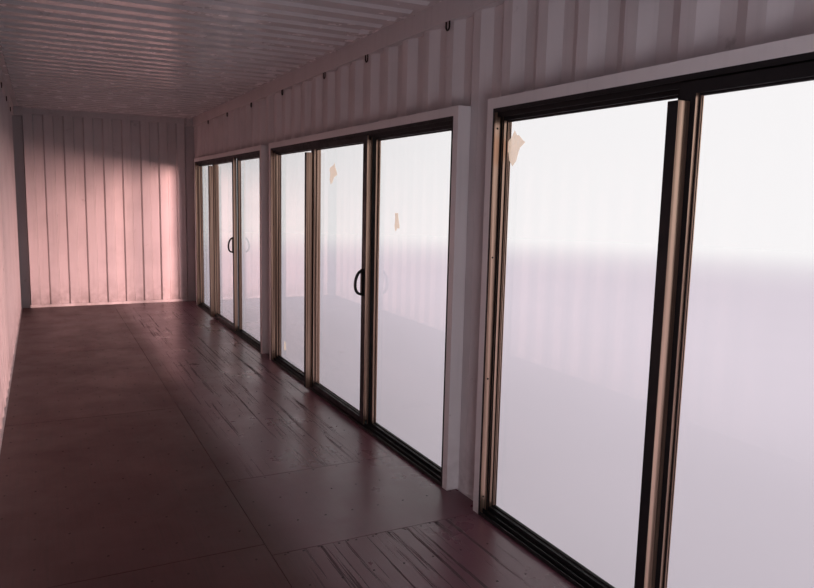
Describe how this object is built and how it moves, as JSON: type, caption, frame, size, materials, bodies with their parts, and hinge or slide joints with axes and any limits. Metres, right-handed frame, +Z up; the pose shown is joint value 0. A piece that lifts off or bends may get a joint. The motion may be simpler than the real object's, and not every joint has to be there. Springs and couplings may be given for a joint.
{
  "type": "shipping container cabin",
  "caption": "Long steel container cabin with corrugated walls, a plywood floor and glazed sliding door units along one side.",
  "frame": {"origin": "middle of the footprint, at the underside of the corner castings", "axes": "+X along the length towards the blind end, -Y towards the glazed side, +Z up"},
  "size_m": [12.192, 2.438, 2.896],
  "materials": {
    "aluminium_black": "black powder coat, satin",
    "floor": "dark brown painted plywood, satin",
    "frame_paint": "satin off-white paint on steel frame",
    "galvanised": "zinc plated, dull",
    "glass": "clear float glass",
    "reveal_paint": "satin white paint on folded steel",
    "seal": "matt black rubber",
    "underframe_paint": "matt dark underframe coating",
    "wall_paint": "satin off-white paint on corrugated steel"
  },
  "bodies": {
    "cabin": {"blind_end_bottom_rail": "frame_paint", "blind_end_corner_posts": "frame_paint", "blind_end_top_rail": "frame_paint", "blind_end_wall": "wall_paint", "bottom_corner_castings": "frame_paint", "bottom_side_rails": "frame_paint", "cargo_door_hinges": "galvanised", "cargo_door_seal": "seal", "cargo_doors": "frame_paint", "door_end_corner_posts": "frame_paint", "door_end_header": "frame_paint", "door_end_sill": "frame_paint", "door_frame_1": "aluminium_black", "door_frame_2": "aluminium_black", "door_frame_3": "aluminium_black", "door_reveals": "reveal_paint", "fixed_glass_1": "glass", "fixed_glass_2": "glass", "fixed_glass_3": "glass", "fixed_sashes_1": "aluminium_black", "fixed_sashes_2": "aluminium_black", "fixed_sashes_3": "aluminium_black", "floor_boards": "floor", "floor_cross_members": "underframe_paint", "lashing_rings": "wall_paint", "lock_rod_brackets": "galvanised", "lock_rods": "galvanised", "plain_side_wall": "wall_paint", "roof_panel": "wall_paint", "top_corner_castings": "frame_paint", "top_side_rails": "frame_paint", "wall_beside_doors": "wall_paint", "wall_over_doors": "wall_paint"},
    "sliding_door_1": {"door_pull_1": "aluminium_black", "sliding_glass_1": "glass", "sliding_rollers_1": "galvanised", "sliding_sash_1": "aluminium_black"},
    "sliding_door_2": {"door_pull_2": "aluminium_black", "sliding_glass_2": "glass", "sliding_rollers_2": "galvanised", "sliding_sash_2": "aluminium_black"},
    "sliding_door_3": {"door_pull_3": "aluminium_black", "sliding_glass_3": "glass", "sliding_rollers_3": "galvanised", "sliding_sash_3": "aluminium_black"}
  },
  "joints": [
    {"name": "sliding_door_1_slide", "type": "slide", "parent": "cabin", "child": "sliding_door_1", "axis": [1, 0, 0], "range_m": [0, 1.1]},
    {"name": "sliding_door_2_slide", "type": "slide", "parent": "cabin", "child": "sliding_door_2", "axis": [1, 0, 0], "range_m": [0, 1.1]},
    {"name": "sliding_door_3_slide", "type": "slide", "parent": "cabin", "child": "sliding_door_3", "axis": [1, 0, 0], "range_m": [0, 1.1]}
  ]
}
